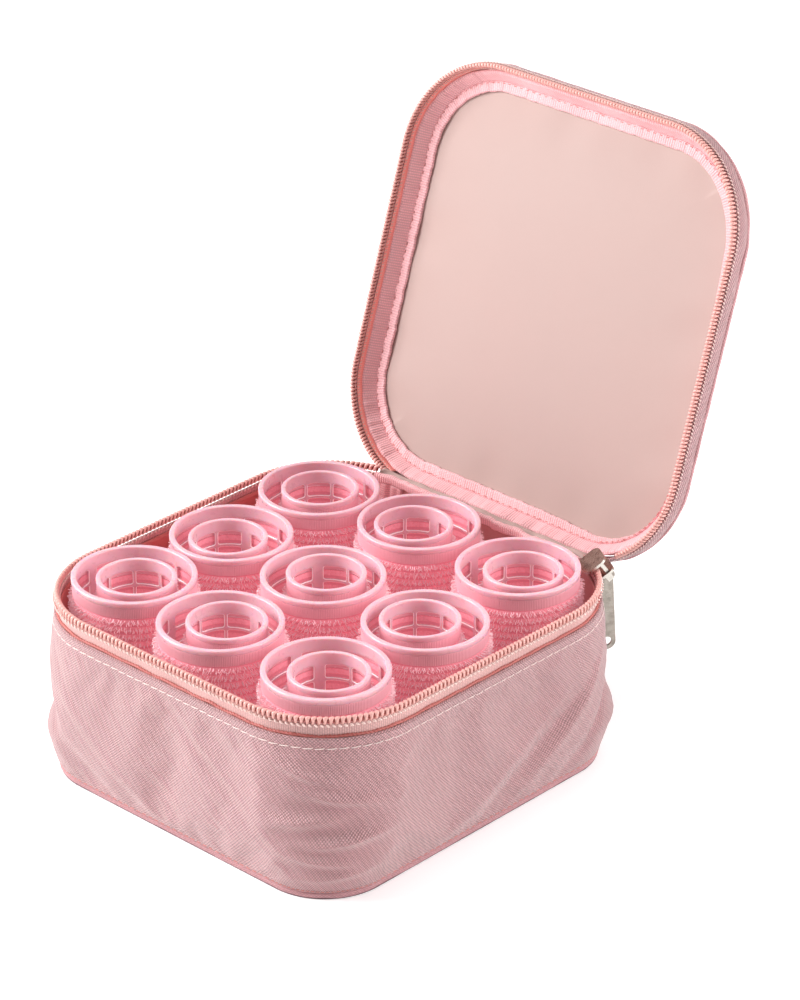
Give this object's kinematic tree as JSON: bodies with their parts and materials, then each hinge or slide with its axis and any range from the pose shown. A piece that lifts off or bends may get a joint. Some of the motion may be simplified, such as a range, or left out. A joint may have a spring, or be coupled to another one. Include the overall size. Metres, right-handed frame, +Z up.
{
  "type": "hair roller set in a zip case",
  "caption": "Soft square zip case with hinged lid, holding self-grip hair rollers that stand nested one inside another.",
  "frame": {"origin": "centre of the case's flat underside, on the surface it stands on", "axes": "+Z up out of the tub, -Y to the front, +Y to the cloth hinge of the lid, +X to the right seen from the front"},
  "size_m": [0.1412, 0.1999, 0.1944],
  "materials": {
    "shell_cloth": "shiny woven nylon, dusty pink",
    "piping_cloth": "nylon piping, dusty pink",
    "lining_cloth": "smooth satin lining, peach pink",
    "binding_ribbon": "ribbed ribbon, pink",
    "zip_tape": "knitted zip tape, coral pink",
    "zip_coil": "nylon coil, coral pink",
    "stiffener_board": "plain board, hidden",
    "slider_metal": "nickel plated die casting",
    "pull_metal": "nickel plated stamping",
    "clear_plastic": "frosted translucent moulding, light pink",
    "hook_cloth": "woven hook cloth, deep pink"
  },
  "bodies": {
    "case": {"base_wall_fabric": "shell_cloth", "base_bottom_piping": "piping_cloth", "base_bottom_panel": "shell_cloth", "base_wall_lining": "lining_cloth", "base_floor_lining": "lining_cloth", "base_zip_tape": "zip_tape", "base_zip_coil": "zip_coil", "hinge_panel": "lining_cloth", "hinge_binding": "binding_ribbon", "hinge_stay_left": "binding_ribbon", "hinge_stay_right": "binding_ribbon"},
    "lid": {"lid_zip_coil": "zip_coil", "lid_zip_tape": "zip_tape", "lid_side_band": "shell_cloth", "lid_rolled_edge": "piping_cloth", "lid_top_panel": "shell_cloth", "lid_stiffener_board": "stiffener_board", "lid_lining_panel": "lining_cloth", "lid_binding_tape": "binding_ribbon", "lid_inner_trim": "binding_ribbon"},
    "slider": {"zip_slider": "slider_metal"},
    "pull_tab": {"zip_pull_tab": "pull_metal"},
    "large_roller_front_left": {"large_roller_front_left_core": "clear_plastic", "large_roller_front_left_sleeve": "hook_cloth"},
    "small_roller_front_left": {"small_roller_front_left_core": "clear_plastic", "small_roller_front_left_sleeve": "hook_cloth"},
    "large_roller_front_centre": {"large_roller_front_centre_core": "clear_plastic", "large_roller_front_centre_sleeve": "hook_cloth"},
    "small_roller_front_centre": {"small_roller_front_centre_core": "clear_plastic", "small_roller_front_centre_sleeve": "hook_cloth"},
    "large_roller_front_right": {"large_roller_front_right_core": "clear_plastic", "large_roller_front_right_sleeve": "hook_cloth"},
    "small_roller_front_right": {"small_roller_front_right_core": "clear_plastic", "small_roller_front_right_sleeve": "hook_cloth"},
    "large_roller_middle_left": {"large_roller_middle_left_core": "clear_plastic", "large_roller_middle_left_sleeve": "hook_cloth"},
    "small_roller_middle_left": {"small_roller_middle_left_core": "clear_plastic", "small_roller_middle_left_sleeve": "hook_cloth"},
    "large_roller_middle_centre": {"large_roller_middle_centre_core": "clear_plastic", "large_roller_middle_centre_sleeve": "hook_cloth"},
    "small_roller_middle_centre": {"small_roller_middle_centre_core": "clear_plastic", "small_roller_middle_centre_sleeve": "hook_cloth"},
    "large_roller_middle_right": {"large_roller_middle_right_core": "clear_plastic", "large_roller_middle_right_sleeve": "hook_cloth"},
    "small_roller_middle_right": {"small_roller_middle_right_core": "clear_plastic", "small_roller_middle_right_sleeve": "hook_cloth"},
    "large_roller_back_left": {"large_roller_back_left_core": "clear_plastic", "large_roller_back_left_sleeve": "hook_cloth"},
    "small_roller_back_left": {"small_roller_back_left_core": "clear_plastic", "small_roller_back_left_sleeve": "hook_cloth"},
    "large_roller_back_centre": {"large_roller_back_centre_core": "clear_plastic", "large_roller_back_centre_sleeve": "hook_cloth"},
    "small_roller_back_centre": {"small_roller_back_centre_core": "clear_plastic", "small_roller_back_centre_sleeve": "hook_cloth"},
    "large_roller_back_right": {"large_roller_back_right_core": "clear_plastic", "large_roller_back_right_sleeve": "hook_cloth"},
    "small_roller_back_right": {"small_roller_back_right_core": "clear_plastic", "small_roller_back_right_sleeve": "hook_cloth"}
  },
  "joints": [
    {"name": "lid_hinge", "type": "hinge", "parent": "case", "child": "lid", "pos_m": [0, 0.0702, 0.0602], "axis": [-1, 0, 0], "range_deg": [-108.45, 0]},
    {"name": "slider_travel", "type": "hinge", "parent": "case", "child": "slider", "pos_m": [0.0356, 0.0376, 0.0621], "axis": [0, 0, -1], "range_deg": [0, 56]},
    {"name": "pull_tab_swing", "type": "hinge", "parent": "slider", "child": "pull_tab", "pos_m": [0.05576, 0.0705, 0.05889], "axis": [0.8526, -0.5225, 0], "range_deg": [0, 110]},
    {"name": "large_roller_front_left_lift", "type": "slide", "parent": "case", "child": "large_roller_front_left", "axis": [0, 0, 1], "range_m": [0, 0.063]},
    {"name": "small_roller_front_left_lift", "type": "slide", "parent": "large_roller_front_left", "child": "small_roller_front_left", "axis": [0, 0, 1], "range_m": [0, 0.063]},
    {"name": "large_roller_front_centre_lift", "type": "slide", "parent": "case", "child": "large_roller_front_centre", "axis": [0, 0, 1], "range_m": [0, 0.063]},
    {"name": "small_roller_front_centre_lift", "type": "slide", "parent": "large_roller_front_centre", "child": "small_roller_front_centre", "axis": [0, 0, 1], "range_m": [0, 0.063]},
    {"name": "large_roller_front_right_lift", "type": "slide", "parent": "case", "child": "large_roller_front_right", "axis": [0, 0, 1], "range_m": [0, 0.063]},
    {"name": "small_roller_front_right_lift", "type": "slide", "parent": "large_roller_front_right", "child": "small_roller_front_right", "axis": [0, 0, 1], "range_m": [0, 0.063]},
    {"name": "large_roller_middle_left_lift", "type": "slide", "parent": "case", "child": "large_roller_middle_left", "axis": [0, 0, 1], "range_m": [0, 0.063]},
    {"name": "small_roller_middle_left_lift", "type": "slide", "parent": "large_roller_middle_left", "child": "small_roller_middle_left", "axis": [0, 0, 1], "range_m": [0, 0.063]},
    {"name": "large_roller_middle_centre_lift", "type": "slide", "parent": "case", "child": "large_roller_middle_centre", "axis": [0, 0, 1], "range_m": [0, 0.063]},
    {"name": "small_roller_middle_centre_lift", "type": "slide", "parent": "large_roller_middle_centre", "child": "small_roller_middle_centre", "axis": [0, 0, 1], "range_m": [0, 0.063]},
    {"name": "large_roller_middle_right_lift", "type": "slide", "parent": "case", "child": "large_roller_middle_right", "axis": [0, 0, 1], "range_m": [0, 0.063]},
    {"name": "small_roller_middle_right_lift", "type": "slide", "parent": "large_roller_middle_right", "child": "small_roller_middle_right", "axis": [0, 0, 1], "range_m": [0, 0.063]},
    {"name": "large_roller_back_left_lift", "type": "slide", "parent": "case", "child": "large_roller_back_left", "axis": [0, 0, 1], "range_m": [0, 0.063]},
    {"name": "small_roller_back_left_lift", "type": "slide", "parent": "large_roller_back_left", "child": "small_roller_back_left", "axis": [0, 0, 1], "range_m": [0, 0.063]},
    {"name": "large_roller_back_centre_lift", "type": "slide", "parent": "case", "child": "large_roller_back_centre", "axis": [0, 0, 1], "range_m": [0, 0.063]},
    {"name": "small_roller_back_centre_lift", "type": "slide", "parent": "large_roller_back_centre", "child": "small_roller_back_centre", "axis": [0, 0, 1], "range_m": [0, 0.063]},
    {"name": "large_roller_back_right_lift", "type": "slide", "parent": "case", "child": "large_roller_back_right", "axis": [0, 0, 1], "range_m": [0, 0.063]},
    {"name": "small_roller_back_right_lift", "type": "slide", "parent": "large_roller_back_right", "child": "small_roller_back_right", "axis": [0, 0, 1], "range_m": [0, 0.063]}
  ]
}
